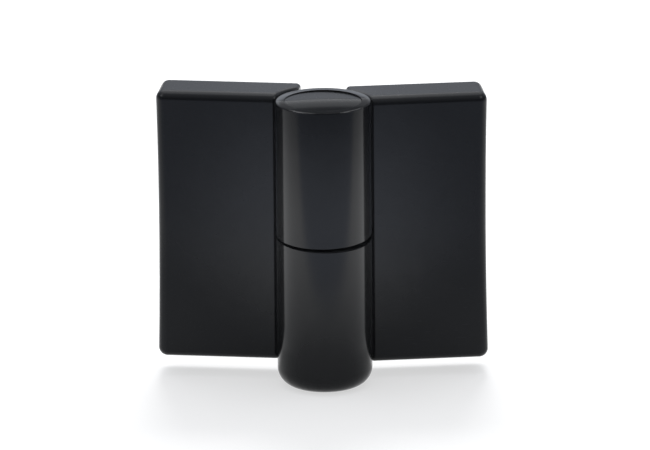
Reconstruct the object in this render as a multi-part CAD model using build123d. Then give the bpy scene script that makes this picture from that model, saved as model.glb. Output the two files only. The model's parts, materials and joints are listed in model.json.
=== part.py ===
from build123d import *
import math
import os

# Driving dimensions in millimetres and degrees.
# On each leaf u runs outwards from the pivot axis, v runs back to the panel, and z is up.

# Leaves and their covers
leaf_height = 84.4
leaf_front = 2.5            # front face, behind the pivot axis
leaf_back = 17.3            # mounting face, behind the pivot axis
leaf_outer = 51.4           # outer edge, from the pivot axis
leaf_inner = 8.85           # inner end at the mounting face, from the pivot axis
leaf_set_over = 0.55        # both leaves' fixings and outer edges, over towards the door side
outer_bow = 0.55            # how far the outer edge is hollow at mid height
cove_gap = 0.75             # hollow inner end of a leaf, wider than the barrel by this
cove_forward = 0.45         # the hollow's centre, in front of the pivot axis
cover_wall = 2.4
cover_corner_radius = 2.7   # outer corners, seen from the front
cover_edge_radius = 2.8     # front edges
cover_cove_radius = 1.4     # top and bottom edges along the hollow inner end
cover_back_radius = 2.0     # outer back corner, seen from above
cover_inner_radius = 1.2    # inner back corner, seen from above
cover_fit = 0.3             # room between a cover and what it goes over
nest_sweep = 13.7           # the door leaf's angle past flat where the cams nest
door_leaf_rise = 0.63       # door leaf's top above the barrel's top

# Leaf bases, hidden under the covers
base_thickness = 5.0
neck_front = 5.0
neck_back = 14.0
neck_reach = 20.0
neck_height = 33.5
neck_inset = 4.2            # from a knuckle's rim to its neck
catch_width = 8.0
catch_depth = 1.6
catch_bite = 0.7

# Fixings of each leaf
fixing_side = 5.5           # from the load plate's sides to the holes
fixing_end = 6.0            # from the load plate's ends to the holes
fixing_hole_radius = 3.3
load_plate_gap = 1.5        # from the neck to the load plate
load_plate_margin = 1.65    # from the base's outer edge to the load plate
load_plate_end = 5.5        # from the base's ends to the load plate
load_plate_thickness = 2.5
load_plate_hole_radius = 3.6
plate_screw_spacing = 26.0
plate_screw_radius = 1.7
plate_screw_head_radius = 3.2
plate_screw_head_height = 2.2
plate_screw_bite = 4.0      # how deep the screw goes into the base
screw_clearance = 0.05

# Barrel
barrel_radius = 14.5
lower_knuckle_length = 46.5
upper_knuckle_length = 42.0
knuckle_gap = 1.2
knuckle_drop = 4.88         # the barrel's foot below the frame leaf
foot_radius = 5.7
foot_wall = 4.5
foot_pocket_radius = 9.0
knuckle_bore = 11.0
top_edge_radius = 0.5
lower_rim_slant = 3.9
lower_rim_low_side = 281.0  # bearing of the rim's lowest point, counted from +X
upper_rim_slant = 3.55
upper_rim_low_side = 255.5

# Pin, bushes, nut and washer
pin_radius = 5.0
pin_running_clearance = 0.05
pin_end = 3.0               # thread above the nut
pin_headroom = 1.6          # from the pin's top to the cap's seat
thread_root_radius = 4.3
pin_tip_bevel = 0.6
tail_flat = 3.5             # half of the width across the tail's flats
tail_tip = 3.0              # bush below the pin's tip
lower_bush_length = 20.0
upper_bush_radius = 7.0
upper_bush_flange_radius = 10.0
upper_bush_flange = 2.0
web_thickness = 6.0
washer_radius = 9.5
washer_thickness = 2.0
nut_across_flats = 17.0
nut_height = 8.0
nut_bevel = 1.0

# Cams
cam_lead = 30.0             # rise of the door per full turn
cam_lobes = 2
cam_radius = 10.5
cam_base = 9.0              # lower cam below its ramps; the upper one reaches up to the web
cam_clearance = 0.3
nest_clearance = 1.5        # degrees between the cams' upright faces in the nest
cam_sections = 13           # ruling lines along one lobe
seat_fit = 0.05             # round pieces that are held in a bore
key_width = 3.0
key_depth = 1.2

# Top cap
rim_land = 2.2              # flat of the knuckle's rim round the cap
cap_fit = 0.04
cap_thickness = 3.2
cap_skirt_wall = 1.8
cap_skirt_length = 3.5
cap_crown_radius = 200.0
cap_slant = 1.1
cap_low_side = 58.0         # bearing of the cap's lowest point
cap_edge_radius = 0.1

# Levels along the pivot axis, counted from the middle of the frame leaf
frame_mid = 0.0
foot_level = frame_mid - leaf_height / 2 - knuckle_drop
lower_rim = foot_level + lower_knuckle_length
upper_rim = lower_rim + knuckle_gap
barrel_top = upper_rim + upper_knuckle_length
door_mid = barrel_top + door_leaf_rise - leaf_height / 2
lobe_angle = 360 / cam_lobes
lobe_height = cam_lead / cam_lobes
ramp_low = (lower_rim + upper_rim - lobe_height) / 2
ramp_high = ramp_low + lobe_height + cam_clearance
lower_seat = ramp_low - cam_base
bush_foot = lower_seat - lower_bush_length
cap_seat = barrel_top - cap_thickness
nut_top = cap_seat - pin_headroom - pin_end
washer_top = nut_top - nut_height
flange_top = washer_top - washer_thickness
web_high = flange_top - upper_bush_flange
web_low = web_high - web_thickness
cap_seat_radius = barrel_radius - top_edge_radius - rim_land

# What the leaves share
cove_radius = barrel_radius + cove_gap
base_front = leaf_back - base_thickness
base_inner = leaf_inner + cover_wall + cover_fit
base_outer = leaf_outer - outer_bow - cover_wall - cover_fit
base_half_height = leaf_height / 2 - cover_wall - cover_fit
load_plate_inner = neck_reach + load_plate_gap
load_plate_outer = base_outer - load_plate_margin
load_plate_half_height = base_half_height - load_plate_end
fixing_u = (load_plate_inner + load_plate_outer) / 2
fixing_half_u = (load_plate_outer - load_plate_inner) / 2 - fixing_side
fixing_half_z = load_plate_half_height - fixing_end
past = 1.0                  # how far cutting tools run past the faces they cut


def block(u_low, u_high, v_low, v_high, z_low, z_high):
    middle = Pos((u_low + u_high) / 2, (v_low + v_high) / 2, (z_low + z_high) / 2)
    return middle * Box(u_high - u_low, v_high - v_low, z_high - z_low)


def rod(radius, z_low, z_high):
    return Pos(0, 0, (z_low + z_high) / 2) * Cylinder(radius, z_high - z_low)


def cove_rod(radius, z_low, z_high, over):
    return Pos(-over, -cove_forward, 0) * rod(radius, z_low, z_high)


def cross_rod(radius, u, z, v_low, v_high):
    return Pos(u, (v_low + v_high) / 2, z) * Rot(90, 0, 0) * Cylinder(radius, v_high - v_low)


def slanted_plane(level, slant, low_side):
    lean = math.sin(math.radians(slant))
    side = math.radians(low_side)
    normal = (lean * math.cos(side), lean * math.sin(side), math.cos(math.radians(slant)))
    return Plane(origin=(0, 0, level), z_dir=normal)


def on_door(shape):
    """Turn a piece of the frame leaf into the door leaf's, in the nest."""
    return Rot(0, 0, -nest_sweep) * mirror(shape, about=Plane.YZ)


def keys(radius, z_low, z_high, room):
    """Two ribs, or with room two keyways, on a round piece in a bore."""
    reach = radius + key_depth
    bar = block(-reach, reach, -key_width / 2 - room, key_width / 2 + room, z_low, z_high)
    return bar & rod(reach, z_low, z_high)


def fixing_places(z_mid):
    for u in (fixing_u - fixing_half_u, fixing_u + fixing_half_u):
        for z in (z_mid - fixing_half_z, z_mid + fixing_half_z):
            yield u, z


def plate_screw_places(z_mid):
    for z in (z_mid - plate_screw_spacing / 2, z_mid + plate_screw_spacing / 2):
        yield fixing_u, z


def catch(z_mid, side, room):
    """The cover's nose behind the base's edge, or with room the notch it drops into."""
    edge = z_mid + side * base_half_height
    bite = catch_bite + room
    reach = cover_fit + past if room == 0 else past
    z_ends = sorted((edge - side * bite, edge + side * reach))
    half = catch_width / 2 + room
    v_low = leaf_back - catch_depth - room
    return block(fixing_u - half, fixing_u + half, v_low, leaf_back - (0 if room else cover_fit), *z_ends)


def cover_outline(z_mid):
    """Front view of a cover: rounded outer corners and a slightly hollow outer edge."""
    low = z_mid - leaf_height / 2
    high = z_mid + leaf_height / 2
    side = ThreePointArc((leaf_outer, low), (leaf_outer - outer_bow, z_mid), (leaf_outer, high))
    ends = Polyline((leaf_outer, high), (0, high), (0, low), (leaf_outer, low))
    face = make_face([side, ends])
    outer_corners = face.vertices().sort_by(Axis.X)[-2:]
    return fillet(outer_corners, cover_corner_radius)


def cover_plan(over):
    """Top view of a cover: hollow towards the barrel, rounded at the back corners."""
    inner = leaf_inner - over
    face = Pos((inner + leaf_outer) / 2, (leaf_front + leaf_back) / 2) * Rectangle(
        leaf_outer - inner, leaf_back - leaf_front
    )
    back_corners = face.vertices().sort_by(Axis.Y)[-2:].sort_by(Axis.X)
    face = fillet(back_corners[1], cover_back_radius)
    inner_corner = face.vertices().sort_by(Axis.X)[:2].sort_by(Axis.Y)[-1]
    face = fillet(inner_corner, cover_inner_radius)
    return face - Pos(-over, -cove_forward) * Circle(cove_radius)


def leaf_cover(z_mid, neck_low, over):
    """Cover of a leaf that is set over outwards, before it is moved there."""
    depth = leaf_back - leaf_front
    front_block = extrude(Plane.XZ * cover_outline(z_mid), amount=-leaf_back - past)
    plan_block = Pos(0, 0, z_mid - leaf_height) * extrude(cover_plan(over), amount=2 * leaf_height)
    shell = front_block & plan_block
    front_edges = shell.faces().sort_by(Axis.Y)[0].edges().sort_by(Axis.X)[1:]
    shell = fillet(front_edges, cover_edge_radius)
    cove_edges = shell.faces().sort_by(Axis.Z)[-1].edges().sort_by(Axis.X)[:3]
    shell = fillet(cove_edges, cover_cove_radius)  # runs on round the whole inner end
    half_height = leaf_height / 2 - cover_wall
    hollow = block(
        leaf_inner - over + cover_wall,
        leaf_outer - outer_bow - cover_wall,
        leaf_back - depth + cover_wall,
        leaf_back + past,
        z_mid - half_height,
        z_mid + half_height,
    )
    shell -= hollow - cove_rod(cove_radius + cover_wall, z_mid - leaf_height, z_mid + leaf_height, over)
    shell -= block(
        0,
        neck_reach,
        neck_front - cover_fit,
        leaf_back + past,
        neck_low - cover_fit,
        neck_low + neck_height + cover_fit,
    )
    return shell + [catch(z_mid, 1, 0), catch(z_mid, -1, 0)]


def leaf_base(z_mid, neck_low, over):
    """Base plate with its neck, before the knuckle is joined on."""
    low = z_mid - base_half_height
    high = z_mid + base_half_height
    base = block(base_inner - over, base_outer, base_front, leaf_back, low, high)
    base -= cove_rod(cove_radius + cover_wall + cover_fit, low, high, over)
    base += block(0, neck_reach, neck_front, neck_back, neck_low, neck_low + neck_height)
    for u, z in fixing_places(z_mid):
        base -= cross_rod(fixing_hole_radius, u, z, base_front - past, leaf_back + past)
    for u, z in plate_screw_places(z_mid):
        base -= cross_rod(
            plate_screw_radius + screw_clearance, u, z, base_front - past, base_front + plate_screw_bite
        )
    return base - [catch(z_mid, 1, cover_fit), catch(z_mid, -1, cover_fit)]


def load_plate(z_mid):
    front = base_front - load_plate_thickness
    plate = block(
        load_plate_inner,
        load_plate_outer,
        front,
        base_front,
        z_mid - load_plate_half_height,
        z_mid + load_plate_half_height,
    )
    for u, z in fixing_places(z_mid):
        plate -= cross_rod(load_plate_hole_radius, u, z, front - past, base_front + past)
    for u, z in plate_screw_places(z_mid):
        plate -= cross_rod(plate_screw_radius + screw_clearance, u, z, front - past, base_front + past)
    return plate


def plate_screws(z_mid):
    front = base_front - load_plate_thickness
    screws = []
    for u, z in plate_screw_places(z_mid):
        head = cross_rod(plate_screw_head_radius, u, z, front - plate_screw_head_height, front)
        shank = cross_rod(plate_screw_radius, u, z, front, base_front + plate_screw_bite)
        screws.append(head + shank)
    return Compound(children=screws)


def lower_knuckle():
    """Outside of the lower knuckle, with its rounded foot and slanted rim."""
    knuckle = rod(barrel_radius, foot_level, lower_rim + barrel_radius)
    knuckle = fillet(knuckle.edges().sort_by(Axis.Z)[0], foot_radius)
    rim = slanted_plane(lower_rim, lower_rim_slant, lower_rim_low_side)
    return split(knuckle, bisect_by=rim, keep=Keep.BOTTOM)


def upper_knuckle():
    """Outside of the upper knuckle, with its slanted rim."""
    knuckle = rod(barrel_radius, upper_rim - barrel_radius, barrel_top)
    knuckle = fillet(knuckle.edges().sort_by(Axis.Z)[-1], top_edge_radius)
    rim = slanted_plane(upper_rim, upper_rim_slant, upper_rim_low_side)
    return split(knuckle, bisect_by=rim, keep=Keep.TOP)


def frame_leaf():
    body = inwards * leaf_base(frame_mid, frame_neck_low, -leaf_set_over) + lower_knuckle()
    mouth = lower_rim + barrel_radius
    body -= rod(foot_pocket_radius, foot_level + foot_wall, bush_foot)
    body -= rod(knuckle_bore, bush_foot, mouth)
    return body - keys(knuckle_bore, bush_foot, mouth, seat_fit)


def door_leaf():
    body = on_door(outwards * leaf_base(door_mid, door_neck_low, leaf_set_over)) + upper_knuckle()
    mouth = upper_rim - barrel_radius
    body -= rod(knuckle_bore, mouth, web_low)
    body -= keys(knuckle_bore, mouth, web_low, seat_fit)
    body -= rod(upper_bush_radius, web_low, web_high)
    body -= rod(knuckle_bore, web_high, barrel_top)
    return body - rod(cap_seat_radius, cap_seat, barrel_top + past)


def seated(z_low, z_high):
    """A round piece with two keys that fits a knuckle's bore."""
    ribs = keys(knuckle_bore - seat_fit, z_low, z_high, 0)
    return rod(knuckle_bore - seat_fit, z_low, z_high) + ribs


def cam_lobe(first, last, bottom, top):
    """A lobe between two heights, each a function of the bearing."""
    sections = []
    reach = cam_radius + past
    for step in range(cam_sections):
        bearing = first + (last - first) * step / (cam_sections - 1)
        turn = math.radians(bearing)
        radial = Plane(
            origin=(0, 0, 0),
            x_dir=(math.cos(turn), math.sin(turn), 0),
            z_dir=(math.sin(turn), -math.cos(turn), 0),
        )
        low = bottom(bearing)
        high = top(bearing)
        middle = Pos((pin_radius + reach) / 2, (low + high) / 2)
        sections.append(radial * middle * Rectangle(reach - pin_radius, high - low))
    return loft(sections) & rod(cam_radius, lower_seat, web_low)


def ramp(bearing):
    return ramp_low + cam_lead * bearing / 360


def lower_cam():
    cam = seated(lower_seat, ramp_low)
    lobe = cam_lobe(0, lobe_angle, lambda bearing: ramp_low - past, ramp)
    for copy in range(cam_lobes):
        cam += Rot(0, 0, copy * lobe_angle) * lobe
    return cam - rod(pin_radius + cam_clearance, lower_seat - past, ramp_high)


def upper_cam():
    cam = seated(ramp_high, web_low)
    lobe = cam_lobe(
        nest_clearance, lobe_angle, lambda bearing: ramp(bearing) + cam_clearance, lambda bearing: ramp_high + past
    )
    for copy in range(cam_lobes):
        cam += Rot(0, 0, copy * lobe_angle) * lobe
    return cam - rod(pin_radius + cam_clearance, ramp_low, web_low + past)


def tail_section(room):
    width = 2 * (pin_radius + past)
    return Circle(pin_radius + room) & Rectangle(width, 2 * (tail_flat + room))


def hinge_pin():
    tip = bush_foot + tail_tip
    tail = Pos(0, 0, tip) * extrude(tail_section(0), amount=lower_seat - tip)
    thread = rod(thread_root_radius, nut_top, nut_top + pin_end)
    thread = chamfer(thread.edges().sort_by(Axis.Z)[-1], pin_tip_bevel)
    return tail + rod(pin_radius, lower_seat, nut_top) + thread


def lower_bush():
    bush = seated(bush_foot, lower_seat)
    slot = extrude(tail_section(pin_running_clearance), amount=lower_bush_length)
    return bush - Pos(0, 0, bush_foot) * slot


def upper_bush():
    bush = rod(upper_bush_radius - seat_fit, web_low, web_high)
    bush += rod(upper_bush_flange_radius, web_high, flange_top)
    return bush - rod(pin_radius + pin_running_clearance, web_low - past, flange_top + past)


def pin_washer():
    return rod(washer_radius, flange_top, washer_top) - rod(pin_radius + seat_fit, flange_top, washer_top)


def pin_nut():
    corner_radius = nut_across_flats / math.sqrt(3)
    nut = Pos(0, 0, washer_top) * extrude(RegularPolygon(corner_radius, 6), amount=nut_height)
    blank = rod(corner_radius, washer_top, nut_top)
    nut &= chamfer(blank.edges().filter_by(GeomType.CIRCLE), nut_bevel)
    return nut - rod(pin_radius + seat_fit, washer_top, nut_top)


def top_cap():
    """Pressed-in cap with a low crown that leans to one side, inside the barrel's rim."""
    disc_radius = cap_seat_radius - cap_fit
    lean = cap_crown_radius * math.sin(math.radians(cap_slant))
    side = math.radians(cap_low_side)
    rise = cap_crown_radius - math.sqrt(cap_crown_radius**2 - (disc_radius - lean) ** 2)
    centre = Pos(-lean * math.cos(side), -lean * math.sin(side), barrel_top + rise - cap_crown_radius)
    disc = rod(disc_radius, cap_seat, barrel_top + past) & centre * Sphere(cap_crown_radius)
    disc = fillet(disc.faces().sort_by(Axis.Z)[-1].edges(), cap_edge_radius)
    skirt_radius = knuckle_bore - cap_fit
    skirt = rod(skirt_radius, cap_seat - cap_skirt_length, cap_seat)
    skirt -= rod(skirt_radius - cap_skirt_wall, cap_seat - cap_skirt_length, cap_seat)
    return disc + skirt


# A neck starts below its knuckle's rim, or above it on the door
frame_neck_low = lower_rim - neck_inset - neck_height
door_neck_low = upper_rim + neck_inset

# The leaves' shift against the barrel
inwards = Pos(-leaf_set_over, 0, 0)
outwards = Pos(leaf_set_over, 0, 0)

pieces = {
    "frame_leaf": frame_leaf(),
    "frame_cover": inwards * leaf_cover(frame_mid, frame_neck_low, -leaf_set_over),
    "frame_load_plate": inwards * load_plate(frame_mid),
    "frame_plate_screws": inwards * plate_screws(frame_mid),
    "lower_bush": lower_bush(),
    "lower_cam": lower_cam(),
    "hinge_pin": hinge_pin(),
    "pin_washer": pin_washer(),
    "pin_nut": pin_nut(),
    "door_leaf": door_leaf(),
    "door_cover": on_door(outwards * leaf_cover(door_mid, door_neck_low, leaf_set_over)),
    "door_load_plate": on_door(outwards * load_plate(door_mid)),
    "door_plate_screws": on_door(outwards * plate_screws(door_mid)),
    "upper_bush": upper_bush(),
    "upper_cam": upper_cam(),
    "top_cap": top_cap(),
}

# The origin is the middle of the frame leaf's fixing holes, on its mounting face
to_origin = Pos(leaf_set_over - fixing_u, -leaf_back, -frame_mid)
os.makedirs("parts", exist_ok=True)
for name, piece in pieces.items():
    export_step(to_origin * piece, f"parts/{name}.step")
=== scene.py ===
import json
import math
import bpy
import bmesh
from mathutils import Matrix, Vector


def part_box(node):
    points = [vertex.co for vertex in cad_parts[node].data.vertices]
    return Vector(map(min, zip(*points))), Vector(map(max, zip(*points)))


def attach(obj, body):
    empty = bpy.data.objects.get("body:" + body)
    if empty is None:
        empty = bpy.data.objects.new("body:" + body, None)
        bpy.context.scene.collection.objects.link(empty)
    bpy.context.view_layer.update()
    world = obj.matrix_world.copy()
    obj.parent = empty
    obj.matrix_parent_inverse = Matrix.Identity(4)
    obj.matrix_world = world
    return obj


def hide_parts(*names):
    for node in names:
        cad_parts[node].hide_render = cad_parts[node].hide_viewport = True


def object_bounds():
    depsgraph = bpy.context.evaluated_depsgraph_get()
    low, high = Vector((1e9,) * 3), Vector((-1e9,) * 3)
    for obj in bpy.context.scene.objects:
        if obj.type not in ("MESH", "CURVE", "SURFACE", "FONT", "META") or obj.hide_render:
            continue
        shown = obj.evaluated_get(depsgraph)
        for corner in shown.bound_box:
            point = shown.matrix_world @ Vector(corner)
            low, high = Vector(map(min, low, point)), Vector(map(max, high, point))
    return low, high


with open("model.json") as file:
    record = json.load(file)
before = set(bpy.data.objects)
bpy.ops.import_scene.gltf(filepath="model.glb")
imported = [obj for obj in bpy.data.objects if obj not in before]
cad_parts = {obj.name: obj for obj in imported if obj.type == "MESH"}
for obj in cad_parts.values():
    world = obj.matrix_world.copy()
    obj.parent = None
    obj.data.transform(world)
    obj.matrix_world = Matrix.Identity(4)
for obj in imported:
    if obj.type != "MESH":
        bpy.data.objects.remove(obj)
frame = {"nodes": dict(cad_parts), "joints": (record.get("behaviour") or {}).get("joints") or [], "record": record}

cadLow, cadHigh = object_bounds()
scene = bpy.context.scene
cad = frame["nodes"]
mounts = {mount["name"]: mount for mount in frame["record"]["mounts"]}
swing = next(joint for joint in frame["joints"] if joint["name"] == "door_swing")
pivot = Vector(swing["pos_m"])
print("frame loaded, box", [round(v * 1000, 1) for v in cadHigh - cadLow], "mm")


# direction from the hinge out to the camera or a lamp; azimuth 0 is straight in front
def outwards(azimuth, elevation):
    turn, lift = math.radians(azimuth), math.radians(elevation)
    return Vector((math.sin(turn) * math.cos(lift), -math.cos(turn) * math.cos(lift), math.sin(lift)))


def lookingBack(spot, away):
    return Matrix.Translation(spot) @ (-away).to_track_quat("-Z", "Y").to_matrix().to_4x4()


# camera: long lens, a little above the hinge, square between the two leaves
shot = {
    "azimuth": -6.39, "elevation": 16.44, "roll": -0.46, "distance": 3.5,
    "lens": 637.0, "sensor": 36, "near": 0.05, "far": 20,
    "aim": pivot + Vector((0.00032, 0, 0.0032)),
}
camData = bpy.data.cameras.new("hingeCamera")
camData.lens = shot["lens"]
camData.sensor_width = shot["sensor"]
camData.clip_start, camData.clip_end = shot["near"], shot["far"]
cam = bpy.data.objects.new("hingeCamera", camData)
towards = outwards(shot["azimuth"], shot["elevation"])
rolled = Matrix.Rotation(math.radians(shot["roll"]), 4, "Z")
cam.matrix_world = lookingBack(shot["aim"] + towards * shot["distance"], towards) @ rolled
scene.collection.objects.link(cam)
scene.camera = cam
print("camera set")


# node helpers, for shader and geometry trees alike
def put(tree, kind, where=(0, 0), **values):
    node = tree.nodes.new(kind)
    node.location = where
    for name, value in values.items():
        setattr(node, name, value)
    return node


def plug(tree, socket, value):
    if isinstance(value, bpy.types.NodeSocket):
        tree.links.new(value, socket)
    else:
        socket.default_value = value


def feed(tree, node, **values):
    for name, value in values.items():
        plug(tree, node.inputs[name.replace("_", " ")], value)


def newGroup(name, kind, inputs, outputs):
    tree = bpy.data.node_groups.new(name, kind)
    for label, socketKind, value in inputs:
        socket = tree.interface.new_socket(label, in_out="INPUT", socket_type=socketKind)
        if value is not None:
            socket.default_value = value
    for label, socketKind in outputs:
        tree.interface.new_socket(label, in_out="OUTPUT", socket_type=socketKind)
    return tree, put(tree, "NodeGroupInput", (-900, 0)), put(tree, "NodeGroupOutput", (900, 0))


def sums(tree, operation, a, b, where=(0, 0), plus=0.0):
    node = put(tree, "ShaderNodeMath", where, operation=operation)
    for socket, value in zip(node.inputs, (a, b, plus)):
        plug(tree, socket, value)
    return node.outputs[0]


def ramp(tree, value, start, full, where=(0, 0), low=0.0, high=1.0, blend="SMOOTHSTEP"):
    node = put(tree, "ShaderNodeMapRange", where, interpolation_type=blend)
    feed(tree, node, Value=value, From_Min=start, From_Max=full, To_Min=low, To_Max=high)
    return node.outputs["Result"]


def blendColour(tree, factor, a, b, where=(0, 0)):
    node = put(tree, "ShaderNodeMix", where, data_type="RGBA")
    for name, value in (("Factor", factor), ("A", a), ("B", b)):
        plug(tree, node.inputs[name], (*value, 1) if isinstance(value, tuple) else value)
    return node.outputs["Result"]


def splitPlace(tree, place, where=(0, 0)):
    node = put(tree, "ShaderNodeSeparateXYZ", where)
    tree.links.new(place, node.inputs[0])
    return node.outputs


# shared effect: skin of a moulded part, fine orange peel over slow sink waves
def makeMouldSkin():
    form = {"peelDetail": 2.0, "peelDepth": 0.00003,
            "sinkScale": 38.0, "sinkDetail": 1.0, "sinkDepth": 0.0006}
    tree, given, result = newGroup(
        "mouldSkin", "ShaderNodeTree",
        [("Vector", "NodeSocketVector", None), ("Normal", "NodeSocketVector", None),
         ("Peel Scale", "NodeSocketFloat", 900.0), ("Peel", "NodeSocketFloat", 0.1),
         ("Sink", "NodeSocketFloat", 0.1)],
        [("Normal", "NodeSocketVector"), ("Flow", "NodeSocketFloat")],
    )
    want = given.outputs
    peel = put(tree, "ShaderNodeTexNoise", (-500, 200))
    feed(tree, peel, Vector=want["Vector"], Scale=want["Peel Scale"], Detail=form["peelDetail"])
    sink = put(tree, "ShaderNodeTexNoise", (-500, -100))
    feed(tree, sink, Vector=want["Vector"], Scale=form["sinkScale"], Detail=form["sinkDetail"])
    waves = put(tree, "ShaderNodeBump", (0, -100))
    feed(tree, waves, Strength=want["Sink"], Distance=form["sinkDepth"], Height=sink.outputs["Fac"],
         Normal=want["Normal"])
    fine = put(tree, "ShaderNodeBump", (300, 100))
    feed(tree, fine, Strength=want["Peel"], Distance=form["peelDepth"], Height=peel.outputs["Fac"],
         Normal=waves.outputs["Normal"])
    feed(tree, result, Normal=fine.outputs["Normal"], Flow=sink.outputs["Fac"])
    return tree


# shared effect: short hairlines and wiped smears from handling
def makeHandlingMarks():
    form = {  # each set of hairs has a turn and a stretch
        "hairs": (((0.3, 0.5, 0.7), (330, 5200, 5200)), ((1.1, -0.4, 2.0), (5000, 380, 5000))),
        "hairFrom": 0.79, "hairFull": 0.86,
        "smearScale": 95.0, "smearDetail": 5.0, "smearRough": 0.62, "smearTwist": 0.8,
    }
    tree, given, result = newGroup(
        "handlingMarks", "ShaderNodeTree",
        [("Vector", "NodeSocketVector", None), ("Amount", "NodeSocketFloat", 0.5)],
        [("Scratches", "NodeSocketFloat"), ("Smears", "NodeSocketFloat")],
    )
    want = given.outputs
    hairs = []
    for angle, stretch in form["hairs"]:
        level = 300 - 300 * len(hairs)
        turned = put(tree, "ShaderNodeMapping", (-600, level))
        feed(tree, turned, Vector=want["Vector"], Rotation=angle, Scale=stretch)
        noise = put(tree, "ShaderNodeTexNoise", (-400, level))
        feed(tree, noise, Vector=turned.outputs["Vector"], Scale=1.0, Detail=0.0)
        hairs.append(ramp(tree, noise.outputs["Fac"], form["hairFrom"], form["hairFull"], (-200, level),
                          blend="LINEAR"))
    both = sums(tree, "MAXIMUM", hairs[0], hairs[1], (100, 200))
    smear = put(tree, "ShaderNodeTexNoise", (-400, -400))
    feed(tree, smear, Vector=want["Vector"], Scale=form["smearScale"], Detail=form["smearDetail"],
         Roughness=form["smearRough"], Distortion=form["smearTwist"])
    feed(tree, result, Scratches=sums(tree, "MULTIPLY", both, want["Amount"], (400, 200)),
         Smears=smear.outputs["Fac"])
    return tree


# shared effect: sparse specks of dust
def makeDustSpecks():
    form = {"speckEdge": 0.05, "speckCore": 0.02}
    tree, given, result = newGroup(
        "dustSpecks", "ShaderNodeTree",
        [("Vector", "NodeSocketVector", None), ("Cells", "NodeSocketFloat", 260.0),
         ("Share", "NodeSocketFloat", 0.06)],
        [("Specks", "NodeSocketFloat")],
    )
    want = given.outputs
    cells = put(tree, "ShaderNodeTexVoronoi", (-500, 0))
    feed(tree, cells, Vector=want["Vector"], Scale=want["Cells"])
    near = ramp(tree, cells.outputs["Distance"], form["speckEdge"], form["speckCore"], (-200, 100),
                blend="LINEAR")
    chosen = put(tree, "ShaderNodeSeparateColor", (-300, -200))
    tree.links.new(cells.outputs["Color"], chosen.inputs[0])
    few = sums(tree, "LESS_THAN", chosen.outputs[0], want["Share"], (0, -200))
    feed(tree, result, Specks=sums(tree, "MULTIPLY", near, few, (300, 0)))
    return tree


# shared effect: a painted sheen, a soft patch of painted reflection brightest at its middle, with a ragged fade
def makePolishPatch():
    form = {"ragged": 0.16, "fullTo": 0.08, "goneAt": 1.08}
    tree, given, result = newGroup(
        "paintedSheenPatch", "ShaderNodeTree",
        [("Vector", "NodeSocketVector", None), ("Smears", "NodeSocketFloat", 0.5),
         ("Least", "NodeSocketFloat", 0.0), ("Most", "NodeSocketFloat", 0.5)],
        [("Polish", "NodeSocketFloat")],
    )
    want = given.outputs
    away = put(tree, "ShaderNodeVectorMath", (-600, 100), operation="LENGTH")
    tree.links.new(want["Vector"], away.inputs[0])
    faded = sums(tree, "MULTIPLY_ADD", want["Smears"], form["ragged"], (-400, 0), away.outputs["Value"])
    feed(tree, result, Polish=ramp(tree, faded, form["fullTo"], form["goneAt"], (-100, 100),
                                   want["Most"], want["Least"]))
    return tree


# shared effect: drawn or turned grain of metal, with the dull clouds of its plating
def makeMetalGrain():
    form = {"lineDetail": 3.0, "lineDepth": 0.00005,
            "cloudScale": 240.0, "cloudDetail": 4.0, "cloudRough": 0.6}
    tree, given, result = newGroup(
        "metalGrain", "ShaderNodeTree",
        [("Vector", "NodeSocketVector", None), ("Stretch", "NodeSocketVector", None),
         ("Depth", "NodeSocketFloat", 0.2)],
        [("Normal", "NodeSocketVector"), ("Grain", "NodeSocketFloat"), ("Clouds", "NodeSocketFloat")],
    )
    want = given.outputs
    drawn = put(tree, "ShaderNodeVectorMath", (-700, 100), operation="MULTIPLY")
    tree.links.new(want["Vector"], drawn.inputs[0])
    tree.links.new(want["Stretch"], drawn.inputs[1])
    lines = put(tree, "ShaderNodeTexNoise", (-500, 100))
    feed(tree, lines, Vector=drawn.outputs["Vector"], Scale=1.0, Detail=form["lineDetail"])
    clouds = put(tree, "ShaderNodeTexNoise", (-500, -200))
    feed(tree, clouds, Vector=want["Vector"], Scale=form["cloudScale"], Detail=form["cloudDetail"],
         Roughness=form["cloudRough"])
    bump = put(tree, "ShaderNodeBump", (0, 100))
    feed(tree, bump, Strength=want["Depth"], Distance=form["lineDepth"], Height=lines.outputs["Fac"])
    feed(tree, result, Normal=bump.outputs["Normal"], Grain=lines.outputs["Fac"],
         Clouds=clouds.outputs["Fac"])
    return tree


mouldSkin = makeMouldSkin()
handlingMarks = makeHandlingMarks()
dustSpecks = makeDustSpecks()
paintedSheenPatch = makePolishPatch()
metalGrain = makeMetalGrain()
print("shared effects built")


def startMaterial(name):
    material = bpy.data.materials.new(name)
    material.use_nodes = True
    tree = material.node_tree
    shader = tree.nodes["Principled BSDF"]
    place = put(tree, "ShaderNodeTexCoord", (-1300, 0)).outputs["Object"]
    return material, tree, shader, place


def addSkin(tree, place, look, normal=None):
    if normal is None:
        normal = put(tree, "ShaderNodeNewGeometry", (-900, -400)).outputs["Normal"]
    skin = put(tree, "ShaderNodeGroup", (-550, -300), node_tree=mouldSkin)
    feed(tree, skin, Vector=place, Normal=normal, Peel_Scale=look["peelScale"], Peel=look["peel"],
         Sink=look["sink"])
    return skin.outputs


def addMarks(tree, place, look):
    marks = put(tree, "ShaderNodeGroup", (-900, 200), node_tree=handlingMarks)
    feed(tree, marks, Vector=place, Amount=look["marks"])
    return marks.outputs


def wear(material, *names):
    for name in names:
        cad[name].data.materials.clear()
        cad[name].data.materials.append(material)


# 1 on faces that look up, 0 on walls
def addUpwards(tree, look):
    normal = put(tree, "ShaderNodeNewGeometry", (-1150, -1000)).outputs["Normal"]
    facing = splitPlace(tree, normal, (-1000, -1000))
    return ramp(tree, facing["Z"], look["flatFrom"], look["flatFull"], (-850, -1000))


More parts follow.
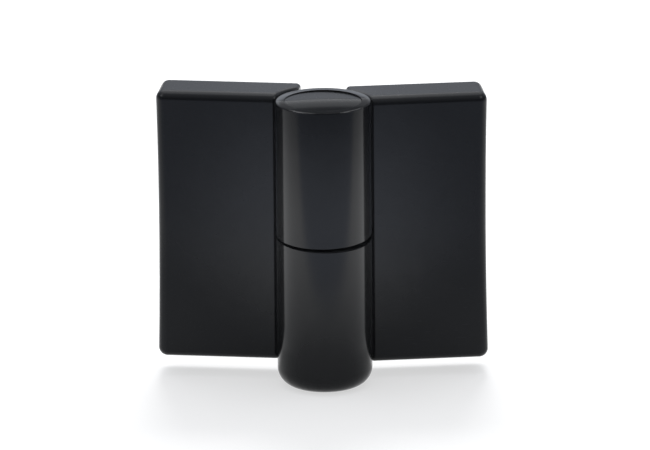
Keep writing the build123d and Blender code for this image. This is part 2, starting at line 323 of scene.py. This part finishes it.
# the barrel's top rolls off past each start, towards its front (-1) or its back (1)
def addRolls(tree, look, spot, upwards, normal):
    height = 0.0
    for start, steep, side in look["rolls"]:
        past = sums(tree, "SUBTRACT", spot["Y"], pivot.y + start, (-1000, -800))
        past = sums(tree, "MULTIPLY", past, side, (-950, -800))
        past = sums(tree, "MAXIMUM", past, 0.0, (-900, -800))
        square = sums(tree, "MULTIPLY", past, past, (-850, -800))
        height = sums(tree, "MULTIPLY_ADD", square, steep, (-800, -800), height)
    roll = put(tree, "ShaderNodeBump", (-650, -600))
    feed(tree, roll, Strength=upwards, Distance=-1.0, Normal=normal, Height=height)
    return roll.outputs["Normal"]


# painted highlight round the cap, as coat on the barrel's rim: all of it at the back, its outer edge at the sides,
# and two painted glints in front
def addPaintedRimHighlight(tree, look, place, spot, upwards):
    spoke = put(tree, "ShaderNodeVectorMath", (-1000, -1200), operation="MULTIPLY_ADD")
    for socket, value in zip(spoke.inputs, (place, (1, 1, 0), (-pivot.x, -pivot.y, 0))):
        plug(tree, socket, value)
    radius = put(tree, "ShaderNodeVectorMath", (-850, -1200), operation="LENGTH")
    tree.links.new(spoke.outputs["Vector"], radius.inputs[0])
    backwards = sums(tree, "SUBTRACT", spot["Y"], pivot.y, (-850, -1350))
    outer = sums(tree, "MULTIPLY_ADD", backwards, look["rimLean"], (-700, -1300), radius.outputs["Value"])
    edge = ramp(tree, outer, look["rimFrom"], look["rimTo"], (-550, -1200), high=look["rimPolish"])
    rim = sums(tree, "MULTIPLY", edge, upwards, (-400, -1200))
    aside = sums(tree, "SUBTRACT", spot["X"], pivot.x, (-1000, -1500))
    aside = sums(tree, "ABSOLUTE", aside, 0.0, (-850, -1500))
    glint = 1.0
    for value, start, full in (
        (aside, look["glintFrom"], look["glintFull"]),
        (aside, look["glintEnd"], look["glintPast"]),
        (spot["Z"], look["glintFoot"], look["glintTop"]),
        (upwards, look["glintFlat"], look["glintSteep"]),
    ):
        glint = sums(tree, "MULTIPLY", ramp(tree, value, start, full, (-650, -1500)), glint, (-450, -1500))
    return sums(tree, "MAXIMUM", rim, glint, (-300, -1300))


# black polyamide of the leaves, covers and cap
def blackNylon(name, look):
    material, tree, shader, place = startMaterial(name)
    rounded = put(tree, "ShaderNodeBevel", (-1100, -400), samples=look["edgeSamples"])
    feed(tree, rounded, Radius=look["edge"])
    normal = rounded.outputs["Normal"]
    spot = splitPlace(tree, place, (-1100, -600))
    if "rolls" in look:
        upwards = addUpwards(tree, look)
        normal = addRolls(tree, look, spot, upwards, normal)
    skin = addSkin(tree, place, look, normal)
    marks = addMarks(tree, place, look)
    specks = put(tree, "ShaderNodeGroup", (-900, 400), node_tree=dustSpecks)
    feed(tree, specks, Vector=place, Cells=look["speckCells"], Share=look["speckShare"])
    # colour: slow flow of the melt, dust in the gaps, specks
    colour = blendColour(tree, skin["Flow"], look["deep"], look["light"], (-300, 500))
    shut = put(tree, "ShaderNodeAmbientOcclusion", (-900, 700), samples=look["gapSamples"])
    feed(tree, shut, Distance=look["gapReach"])
    dusty = ramp(tree, shut.outputs["AO"], look["gapFrom"], look["gapFull"], (-600, 700), blend="LINEAR")
    colour = blendColour(tree, dusty, colour, look["gapDust"], (-150, 500))
    colour = blendColour(tree, specks.outputs["Specks"], colour, look["speckColour"], (0, 500))
    rough = ramp(tree, marks["Smears"], 0.0, 1.0, (-500, 100), look["rough"] - look["roughSpread"],
                 look["rough"] + look["roughSpread"], "LINEAR")
    rough = sums(tree, "MULTIPLY_ADD", marks["Scratches"], look["scuff"], (-250, 100), rough)
    # painted sheen: a thin coat in a patch, a painted reflection brightest at the patch's middle
    patch = put(tree, "ShaderNodeMapping", (-900, -100))
    reach = look["patchReach"]
    feed(tree, patch, Vector=place, Scale=tuple(1 / r for r in reach),
         Location=tuple(-c / r for c, r in zip(look["patchAt"], reach)))
    # the sheen's floor fades out towards one height, painted shade there: low down on the covers, at the top of
    # the barrel
    least = ramp(tree, spot["Z"], look["paintedShadeAt"], look["paintedSheenAt"], (-700, -100), high=look["paintedSheenLeast"])
    paintedSheen = put(tree, "ShaderNodeGroup", (-500, -100), node_tree=paintedSheenPatch)
    feed(tree, paintedSheen, Vector=patch.outputs["Vector"], Smears=marks["Smears"], Least=least,
         Most=look["paintedSheenMost"])
    coat = paintedSheen.outputs["Polish"]
    # painted highlight and painted glints on the barrel's top rim, added to the coat
    if "rimPolish" in look:
        coat = sums(tree, "MAXIMUM", coat, addPaintedRimHighlight(tree, look, place, spot, upwards), (-200, -100))
    feed(tree, shader, Base_Color=colour, Roughness=rough, Normal=skin["Normal"], Coat_Weight=coat,
         Coat_Roughness=look["coatRough"], Specular_IOR_Level=look["specular"],
         Specular_Tint=(*look["sheenTint"], 1))
    return material


nylonLook = {  # the same on all black mouldings
    "edgeSamples": 4, "sink": 0.02, "marks": 0.3, "scuff": 0.3, "sheenTint": (0.93, 0.96, 1.0),
    "gapSamples": 6, "gapFrom": 0.45, "gapFull": 0.1, "speckShare": 0.02, "speckColour": (0.03, 0.03, 0.03),
    "flatFrom": 0.75, "flatFull": 0.97,
}
coverLook = {
    **nylonLook,
    "deep": (0.0055, 0.0057, 0.0066), "light": (0.0075, 0.0078, 0.009), "rough": 0.26, "roughSpread": 0.03,
    "peelScale": 1500.0, "peel": 0.04, "specular": 0.19, "edge": 0.0002,
    "gapReach": 0.004, "gapDust": (0.075, 0.075, 0.078), "speckCells": 240.0,
    # patch values paint a sheen near the barrel at mid height, fading to painted shade low down
    "patchAt": (pivot.x, pivot.y, 0.007), "patchReach": (0.051, 0.2, 0.05),
    "paintedSheenLeast": 0.16, "paintedSheenMost": 0.95, "coatRough": 0.24, "paintedShadeAt": -0.02, "paintedSheenAt": 0.004,
}
barrelLook = {
    **nylonLook,
    "deep": (0.0055, 0.0057, 0.0064), "light": (0.0072, 0.0075, 0.0084), "rough": 0.14, "roughSpread": 0.02,
    "peelScale": 1200.0, "peel": 0.03, "specular": 0.14, "edge": 0.0002,
    "gapReach": 0.004, "gapDust": (0.075, 0.075, 0.078), "speckCells": 300.0,
    # patch values paint a sheen along the barrel, fading to painted shade at its top; rim and glint values are
    # painted highlights
    "patchAt": (pivot.x, pivot.y, 0.006), "patchReach": (0.3, 0.3, 0.047),
    "paintedSheenLeast": 0.12, "paintedSheenMost": 0.74, "coatRough": 0.13, "paintedShadeAt": 0.036, "paintedSheenAt": -0.01,
    "rolls": ((0.003, 40.0, -1), (0.006, 10.0, 1)),
    "rimPolish": 0.9, "rimFrom": 0.0123, "rimTo": 0.0146, "rimLean": 0.25,
    "glintFrom": 0.0025, "glintFull": 0.0065, "glintPast": 0.0095, "glintEnd": 0.0125,
    "glintFoot": 0.042, "glintTop": 0.0423, "glintFlat": 1.0, "glintSteep": 0.6,
}
capLook = {
    **nylonLook,
    "deep": (0.006, 0.0062, 0.007), "light": (0.008, 0.0083, 0.0094), "rough": 0.24, "roughSpread": 0.03,
    "peelScale": 1500.0, "peel": 0.03, "specular": 0.3, "edge": 0.0001,
    "gapReach": 0.001, "gapDust": (0.02, 0.02, 0.021), "speckCells": 300.0,
    "patchAt": (pivot.x, pivot.y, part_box("top_cap")[1].z), "patchReach": (0.014, 0.014, 0.02),
    "paintedSheenLeast": 0.0, "paintedSheenMost": 0.0, "coatRough": 0.2, "paintedShadeAt": -0.02, "paintedSheenAt": 0.0,
    "rolls": ((0.003, 40.0, -1),),
}
wear(blackNylon("coverNylon", coverLook), "frame_cover", "door_cover")
wear(blackNylon("barrelNylon", barrelLook), "frame_leaf", "door_leaf")
wear(blackNylon("capNylon", capLook), "top_cap")


# satin acetal of the two cams, with grease worked over the ramps
def greasedAcetal(name):
    look = {"dry": (0.011, 0.011, 0.012), "greased": (0.022, 0.02, 0.014), "dryRough": 0.42,
            "greaseRough": 0.12, "greaseScale": 130.0, "greaseDetail": 4.0, "greaseTwist": 1.2,
            "filmFrom": 0.42, "filmFull": 0.6, "peelScale": 1100.0, "peel": 0.12, "sink": 0.05}
    material, tree, shader, place = startMaterial(name)
    smear = put(tree, "ShaderNodeTexNoise", (-800, 200))
    feed(tree, smear, Vector=place, Scale=look["greaseScale"], Detail=look["greaseDetail"],
         Distortion=look["greaseTwist"])
    film = ramp(tree, smear.outputs["Fac"], look["filmFrom"], look["filmFull"], (-500, 200))
    feed(tree, shader, Base_Color=blendColour(tree, film, look["dry"], look["greased"], (-250, 300)),
         Roughness=ramp(tree, film, 0.0, 1.0, (-250, 50), look["dryRough"], look["greaseRough"], "LINEAR"),
         Normal=addSkin(tree, place, look)["Normal"])
    return material


# undyed polyamide of the two bushes
def naturalNylon(name):
    look = {"pale": (0.83, 0.81, 0.75), "aged": (0.74, 0.69, 0.58), "rough": 0.42, "roughSpread": 0.08,
            "peelScale": 900.0, "peel": 0.15, "sink": 0.06, "marks": 0.4,
            "glow": 0.08, "glowReach": (0.002, 0.0018, 0.0012)}
    material, tree, shader, place = startMaterial(name)
    skin = addSkin(tree, place, look)
    marks = addMarks(tree, place, look)
    rough = ramp(tree, skin["Flow"], 0.0, 1.0, (-250, 50), look["rough"] - look["roughSpread"],
                 look["rough"] + look["roughSpread"], "LINEAR")
    feed(tree, shader, Base_Color=blendColour(tree, marks["Smears"], look["pale"], look["aged"], (-250, 300)),
         Roughness=rough, Normal=skin["Normal"], Subsurface_Weight=look["glow"],
         Subsurface_Radius=look["glowReach"])
    return material


# steel of the plates, screws, washer, nut and pin
def hingeSteel(name, look):
    material, tree, shader, place = startMaterial(name)
    grain = put(tree, "ShaderNodeGroup", (-700, 0), node_tree=metalGrain)
    feed(tree, grain, Vector=place, Stretch=look["stretch"], Depth=look["depth"])
    marks = addMarks(tree, place, look)
    colour = blendColour(tree, grain.outputs["Clouds"], look["bright"], look["dull"], (-350, 300))
    colour = blendColour(tree, marks["Scratches"], colour, look["scratch"], (-150, 300))
    rough = ramp(tree, grain.outputs["Clouds"], look["cloudFrom"], look["cloudFull"], (-350, 0),
                 look["rough"], look["rough"] + look["roughSpread"], "LINEAR")
    rough = sums(tree, "MULTIPLY_ADD", grain.outputs["Grain"], look["lineRough"], (-150, 0), rough)
    feed(tree, shader, Base_Color=colour, Roughness=rough, Normal=grain.outputs["Normal"], Metallic=1)
    return material


steelLook = {"cloudFrom": 0.3, "cloudFull": 0.7, "lineRough": 0.1}  # the same on all steel
plateSteelLook = {
    **steelLook,
    "bright": (0.7, 0.71, 0.73), "dull": (0.56, 0.57, 0.6), "scratch": (0.42, 0.42, 0.43), "rough": 0.24,
    "roughSpread": 0.2, "stretch": (4200.0, 4200.0, 90.0), "depth": 0.25, "marks": 0.5,
}
smallSteelLook = {
    **steelLook,
    "bright": (0.74, 0.75, 0.77), "dull": (0.62, 0.63, 0.64), "scratch": (0.5, 0.5, 0.5), "rough": 0.2,
    "roughSpread": 0.14, "stretch": (900.0, 900.0, 5000.0), "depth": 0.15, "marks": 0.3,
}
pinSteelLook = {
    **steelLook,
    "bright": (0.62, 0.61, 0.6), "dull": (0.5, 0.49, 0.47), "scratch": (0.4, 0.4, 0.4), "rough": 0.12,
    "roughSpread": 0.14, "stretch": (160.0, 160.0, 9000.0), "depth": 0.2, "marks": 0.4,
}
smallSteel = hingeSteel("zincSmallParts", smallSteelLook)
pinSteel = hingeSteel("groundPinSteel", pinSteelLook)
wear(hingeSteel("zincPlates", plateSteelLook), "frame_load_plate", "door_load_plate")
wear(smallSteel, "frame_plate_screws", "door_plate_screws", "pin_washer", "pin_nut")
wear(pinSteel, "hinge_pin")
wear(greasedAcetal("camAcetal"), "lower_cam", "upper_cam")
wear(naturalNylon("bushNylon"), "lower_bush", "upper_bush")
print("materials on")


# mouldings: merged copies of the solids, shaded smoothly over their rounded edges
seamReach = 0.000002  # corners nearer than this are one
mouldings = {  # node, body, and the angle in degrees above which an edge stays sharp
    "frameCover": ("frame_cover", "frame", 22),
    "frameLeaf": ("frame_leaf", "frame", 14),
    "doorCover": ("door_cover", "door", 22),
    "doorLeaf": ("door_leaf", "door", 14),
    "topCap": ("top_cap", "door", 26),
}


def smoothMoulding(name, node, body, crease):
    mesh = cad[node].data.copy()
    form = bmesh.new()
    form.from_mesh(mesh)
    bmesh.ops.remove_doubles(form, verts=form.verts, dist=seamReach)
    form.to_mesh(mesh)
    alike = math.cos(math.radians(crease))
    normals = []
    for face in form.faces:
        for corner in face.loops:  # larger faces count for more, so flats stay flat
            near = [other for other in corner.vert.link_faces if other.normal.dot(face.normal) > alike]
            normals.append(sum((other.normal * other.calc_area() for other in near), Vector()).normalized())
    form.free()
    mesh.shade_smooth()
    mesh.normals_split_custom_set(normals)
    moulding = bpy.data.objects.new(name, mesh)
    scene.collection.objects.link(moulding)
    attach(moulding, body)
    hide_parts(node)


for name, (node, body, crease) in mouldings.items():
    smoothMoulding(name, node, body, crease)
print("mouldings smoothed")


# geometry trees are run on a throwaway object and come back as plain meshes
def runTree(name, tree, values):
    mesh = bpy.data.meshes.new(name)
    holder = bpy.data.objects.new(name, mesh)
    scene.collection.objects.link(holder)
    modifier = holder.modifiers.new("grow", "NODES")
    modifier.node_group = tree
    for item in tree.interface.items_tree:
        if item.item_type == "SOCKET" and item.in_out == "INPUT" and item.name in values:
            modifier[item.identifier] = values[item.name]
    seen = holder.evaluated_get(bpy.context.evaluated_depsgraph_get())
    made = bpy.data.meshes.new_from_object(seen)
    holder.modifiers.remove(modifier)
    holder.data = made
    bpy.data.meshes.remove(mesh)
    return holder


def endTree(tree, part, material, result):
    real = put(tree, "GeometryNodeRealizeInstances", (550, 0))
    tree.links.new(part, real.inputs[0])
    dressed = put(tree, "GeometryNodeSetMaterial", (700, 0))
    feed(tree, dressed, Geometry=real.outputs[0], Material=material)
    tree.links.new(dressed.outputs[0], result.inputs[0])


def point(tree, x=0.0, y=0.0, z=0.0, where=(0, 0)):
    node = put(tree, "ShaderNodeCombineXYZ", where)
    for socket, value in zip(node.inputs, (x, y, z)):
        plug(tree, socket, value)
    return node.outputs[0]


def shifted(tree, part, z, where=(0, 0)):
    node = put(tree, "GeometryNodeTransform", where)
    feed(tree, node, Geometry=part, Translation=point(tree, z=z, where=(where[0] - 150, where[1] - 150)))
    return node.outputs[0]


# thread: a helical ridge of triangular section round a core
def addThread(tree, crest, root, pitch, length):
    form = {"stepsPerTurn": 40, "ribSides": 3}
    turns = sums(tree, "DIVIDE", length, pitch, (-600, -400))
    spiral = put(tree, "GeometryNodeCurveSpiral", (-400, -400))
    feed(tree, spiral, Resolution=form["stepsPerTurn"], Rotations=turns, Start_Radius=root, End_Radius=root,
         Height=length)
    depth = sums(tree, "SUBTRACT", crest, root, (-600, -600))
    rib = put(tree, "GeometryNodeCurvePrimitiveCircle", (-400, -650), mode="RADIUS")
    feed(tree, rib, Resolution=form["ribSides"], Radius=depth)
    ridge = put(tree, "GeometryNodeCurveToMesh", (-200, -450))
    feed(tree, ridge, Curve=spiral.outputs[0], Profile_Curve=rib.outputs[0], Fill_Caps=True)
    return ridge.outputs[0]


# pan head screws with a cross recess, in a row along Y of their own frame, heads up
def makePlateScrewTree():
    form = {"headSides": 40, "headSteps": 3, "headRings": 5, "crownPower": 4.0, "crownDrop": -0.7,
            "firstBar": 2.0, "secondBar": 1.9, "coreShare": 0.8, "shankSides": 28, "count": 2}
    tree, given, result = newGroup(
        "plateScrewRow", "GeometryNodeTree",
        [("Spacing", "NodeSocketFloat", 0.026), ("Head Radius", "NodeSocketFloat", 0.0032),
         ("Head Height", "NodeSocketFloat", 0.0022), ("Shank Radius", "NodeSocketFloat", 0.0017),
         ("Shank Length", "NodeSocketFloat", 0.0065), ("Pitch", "NodeSocketFloat", 0.0011),
         ("Recess Length", "NodeSocketFloat", 0.0036), ("Recess Width", "NodeSocketFloat", 0.0008),
         ("Recess Depth", "NodeSocketFloat", 0.0012), ("Material", "NodeSocketMaterial", None)],
        [("Geometry", "NodeSocketGeometry")],
    )
    want = given.outputs
    half = sums(tree, "MULTIPLY", want["Head Height"], 0.5, (-700, 500))
    head = put(tree, "GeometryNodeMeshCylinder", (-500, 500))
    feed(tree, head, Vertices=form["headSides"], Side_Segments=form["headSteps"],
         Fill_Segments=form["headRings"], Radius=want["Head Radius"], Depth=want["Head Height"])
    # the crown drops towards the head's edge
    spot = splitPlace(tree, put(tree, "GeometryNodeInputPosition", (-900, 750)).outputs[0], (-700, 750))
    flat = put(tree, "ShaderNodeVectorMath", (-700, 900), operation="LENGTH")
    tree.links.new(point(tree, spot["X"], spot["Y"], 0.0, (-800, 900)), flat.inputs[0])
    ratio = sums(tree, "DIVIDE", flat.outputs["Value"], want["Head Radius"], (-550, 900))
    steep = sums(tree, "POWER", ratio, form["crownPower"], (-400, 900))
    upper = sums(tree, "MAXIMUM", spot["Z"], 0.0, (-550, 750))
    drop = sums(tree, "MULTIPLY", steep, upper, (-300, 800))
    drop = sums(tree, "MULTIPLY", drop, form["crownDrop"], (-200, 800))
    crowned = put(tree, "GeometryNodeSetPosition", (-250, 550))
    feed(tree, crowned, Geometry=head.outputs["Mesh"], Offset=point(tree, z=drop, where=(-100, 800)))
    # two crossed bars make the recess, and the second stops a little short of the first
    recessed = put(tree, "GeometryNodeMeshBoolean", (50, 450), operation="DIFFERENCE")
    tree.links.new(crowned.outputs[0], recessed.inputs["Mesh 1"])
    along, across = want["Recess Length"], want["Recess Width"]
    for long, wide, share in ((along, across, form["firstBar"]), (across, along, form["secondBar"])):
        deep = sums(tree, "MULTIPLY", want["Recess Depth"], share, (-700, 250))
        bar = put(tree, "GeometryNodeMeshCube", (-450, 250))
        feed(tree, bar, Size=point(tree, long, wide, deep, (-600, 250)))
        tree.links.new(shifted(tree, bar.outputs["Mesh"], half, (-100, 250)), recessed.inputs["Mesh 2"])
    # shank with its thread, below the head
    core = sums(tree, "MULTIPLY", want["Shank Radius"], form["coreShare"], (-900, -100))
    shank = put(tree, "GeometryNodeMeshCylinder", (-500, -100))
    feed(tree, shank, Vertices=form["shankSides"], Radius=core, Depth=want["Shank Length"])
    ridge = addThread(tree, want["Shank Radius"], core, want["Pitch"], want["Shank Length"])
    halfShank = sums(tree, "MULTIPLY", want["Shank Length"], -0.5, (-700, -200))
    under = sums(tree, "SUBTRACT", halfShank, half, (-550, -250))
    foot = sums(tree, "ADD", under, halfShank, (-400, -300))
    one = put(tree, "GeometryNodeJoinGeometry", (150, 100))
    for part in (recessed.outputs["Mesh"], shifted(tree, shank.outputs["Mesh"], under, (-100, -100)),
                 shifted(tree, ridge, foot, (-50, -450))):
        tree.links.new(part, one.inputs[0])
    row = put(tree, "GeometryNodeMeshLine", (50, 900))
    back = sums(tree, "MULTIPLY", want["Spacing"], -0.5, (-200, 1000))
    feed(tree, row, Count=form["count"], Start_Location=point(tree, y=back, where=(-100, 1000)),
         Offset=point(tree, y=want["Spacing"], where=(-100, 1100)))
    screws = put(tree, "GeometryNodeInstanceOnPoints", (250, 200))
    feed(tree, screws, Points=row.outputs["Mesh"], Instance=one.outputs[0])
    endTree(tree, screws.outputs[0], want["Material"], result)
    return tree


def makePinThreadTree():
    tree, given, result = newGroup(
        "pinThread", "GeometryNodeTree",
        [("Crest", "NodeSocketFloat", 0.005), ("Root", "NodeSocketFloat", 0.0043),
         ("Pitch", "NodeSocketFloat", 0.00125), ("Length", "NodeSocketFloat", 0.003),
         ("Material", "NodeSocketMaterial", None)],
        [("Geometry", "NodeSocketGeometry")],
    )
    want = given.outputs
    ridge = addThread(tree, want["Crest"], want["Root"], want["Pitch"], want["Length"])
    endTree(tree, ridge, want["Material"], result)
    return tree


def closeMesh(mesh):
    form = bmesh.new()
    form.from_mesh(mesh)
    bmesh.ops.remove_doubles(form, verts=form.verts, dist=seamReach)
    bmesh.ops.recalc_face_normals(form, faces=form.faces)
    form.to_mesh(mesh)
    form.free()


plateScrew = {"headHeight": 0.0022, "shankRadius": 0.0017, "pitch": 0.0011, "recessLength": 0.0036,
              "recessWidth": 0.0008, "recessDepth": 0.0012}
screwTree = makePlateScrewTree()
screwLow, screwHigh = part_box("frame_plate_screws")
headRadius = (screwHigh.x - screwLow.x) / 2
screwLength = screwHigh.y - screwLow.y
for side in ("frame", "door"):
    face = mounts[side + "_face"]
    inward = Vector(face["axis"])
    row = runTree(side + "PlateScrews", screwTree, {
        "Spacing": screwHigh.z - screwLow.z - 2 * headRadius, "Head Radius": headRadius,
        "Head Height": plateScrew["headHeight"], "Shank Radius": plateScrew["shankRadius"],
        "Shank Length": screwLength - plateScrew["headHeight"], "Pitch": plateScrew["pitch"],
        "Recess Length": plateScrew["recessLength"], "Recess Width": plateScrew["recessWidth"],
        "Recess Depth": plateScrew["recessDepth"], "Material": smallSteel,
    })
    closeMesh(row.data)
    # heads towards the front, the row upright on the leaf's middle
    headMiddle = Vector(face["pos_m"]) + inward * (screwLow.y + plateScrew["headHeight"] / 2)
    up = Vector((0, 0, 1))
    frontwards = -inward
    axes = Matrix((up.cross(frontwards), up, frontwards)).transposed().to_4x4()
    row.data.transform(Matrix.Translation(headMiddle) @ axes)
    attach(row, side)
    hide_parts(side + "_plate_screws")

pinThread = {"pitch": 0.00125, "rootRadius": 0.0043, "crestRadius": 0.00498, "endClear": 0.0007}
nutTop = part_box("pin_nut")[1].z
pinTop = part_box("hinge_pin")[1].z
thread = runTree("pinThread", makePinThreadTree(), {
    "Crest": pinThread["crestRadius"], "Root": pinThread["rootRadius"], "Pitch": pinThread["pitch"],
    "Length": pinTop - nutTop - 2 * pinThread["endClear"], "Material": pinSteel,
})
closeMesh(thread.data)
thread.data.transform(Matrix.Translation((pivot.x, pivot.y, nutTop + pinThread["endClear"])))
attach(thread, "pin")
print("screws and thread made")


# floor: white paper under and behind the hinge, fading in front of it to a grey table; that grey is painted shade,
# the floor beyond the light, and shows in the leaves' reflections
def makeFloor():
    floorLook = {"reach": 3.0, "paperFrom": -0.085, "paintedShadeFrom": -0.14, "paper": (1.0, 1.0, 1.0),
                 "paintedShadeTable": (0.565, 0.603, 0.69), "glowShare": 0.6}
    mesh = bpy.data.meshes.new("studioFloor")
    form = bmesh.new()
    bmesh.ops.create_grid(form, x_segments=1, y_segments=1, size=floorLook["reach"])
    form.to_mesh(mesh)
    form.free()
    floor = bpy.data.objects.new("studioFloor", mesh)
    floor.location = (pivot.x, pivot.y, cadLow.z)
    scene.collection.objects.link(floor)
    material = bpy.data.materials.new("whitePaper")
    material.use_nodes = True
    tree = material.node_tree
    tree.nodes.remove(tree.nodes["Principled BSDF"])
    spot = splitPlace(tree, put(tree, "ShaderNodeTexCoord", (-1300, 0)).outputs["Object"], (-1100, 0))
    # the grey in front is painted shade, standing in for the floor out of the light
    edge = ramp(tree, spot["Y"], floorLook["paintedShadeFrom"], floorLook["paperFrom"], (-800, 0))
    tone = blendColour(tree, edge, floorLook["paintedShadeTable"], floorLook["paper"], (-600, 0))
    path = put(tree, "ShaderNodeLightPath", (-800, 400))
    seen = sums(tree, "MAXIMUM", path.outputs["Is Camera Ray"], path.outputs["Is Glossy Ray"], (-600, 400))
    seen = sums(tree, "MAXIMUM", seen, path.outputs["Is Transmission Ray"], (-450, 400))
    share = sums(tree, "MULTIPLY", seen, floorLook["glowShare"], (-300, 400))
    paper = put(tree, "ShaderNodeBsdfDiffuse", (-400, 0))
    feed(tree, paper, Color=tone)
    glow = put(tree, "ShaderNodeEmission", (-400, -200))
    feed(tree, glow, Color=tone)
    both = put(tree, "ShaderNodeMixShader", (-100, 0))
    for socket, part in zip(both.inputs, (share, paper.outputs[0], glow.outputs[0])):
        tree.links.new(part, socket)
    tree.links.new(both.outputs[0], tree.nodes["Material Output"].inputs["Surface"])
    mesh.materials.append(material)


# soft boxes round the hinge; some are left out of reflections, some show in reflections only
softBoxes = {
    "overheadBox": {"azimuth": 174, "elevation": 67, "distance": 0.9, "size": 1.15, "watts": 4.25},
    "floorWash": {"azimuth": 172, "elevation": 52, "distance": 1.2, "size": 0.4, "watts": 10.0,
                  "mirrored": False},
    "leftBox": {"azimuth": -75, "elevation": 42, "distance": 0.8, "size": 0.34, "watts": 0.75,
                "lighting": False},
    "rightBox": {"azimuth": 55, "elevation": 42, "distance": 0.8, "size": 0.34, "watts": 0.7,
                 "lighting": False},
}


def softBox(name, azimuth, elevation, distance, size, watts, mirrored=True, lighting=True):
    away = outwards(azimuth, elevation)
    lamp = bpy.data.lights.new(name, "AREA")
    lamp.shape = "DISK"
    lamp.size = size
    lamp.energy = watts
    holder = bpy.data.objects.new(name, lamp)
    holder.matrix_world = lookingBack(pivot + away * distance, away)
    holder.visible_glossy = mirrored
    holder.visible_diffuse = lighting
    scene.collection.objects.link(holder)


# room: dim in front of the hinge, brighter behind it and above
def makeRoom():
    roomLook = {"front": (0.13, 0.14, 0.155), "back": (0.52, 0.55, 0.61), "ceiling": (0.7, 0.72, 0.76),
                "horizon": (0.2, 0.21, 0.23), "frontTo": -0.5, "backFrom": 0.9,
                "horizonTo": 0.06, "wallFrom": 0.26, "wallTo": 0.3, "ceilingFrom": 1.0}
    world = bpy.data.worlds.new("studioRoom")
    world.use_nodes = True
    tree = world.node_tree
    around = splitPlace(tree, put(tree, "ShaderNodeTexCoord", (-800, 0)).outputs["Generated"], (-600, 0))
    depth = ramp(tree, around["Y"], roomLook["frontTo"], roomLook["backFrom"], (-400, 0))
    rise = ramp(tree, around["Z"], roomLook["horizonTo"], roomLook["wallFrom"], (-400, 300))
    height = ramp(tree, around["Z"], roomLook["wallTo"], roomLook["ceilingFrom"], (-400, -300),
                  blend="LINEAR")
    wall = blendColour(tree, rise, roomLook["horizon"], roomLook["back"], (-300, 200))
    walls = blendColour(tree, depth, roomLook["front"], wall, (-200, 0))
    walls = blendColour(tree, height, walls, roomLook["ceiling"], (0, 0))
    feed(tree, tree.nodes["Background"], Color=walls)
    scene.world = world


makeFloor()
for name, values in softBoxes.items():
    softBox(name, **values)
makeRoom()
scene.view_settings.view_transform = "Standard"
print("floor and lights set")
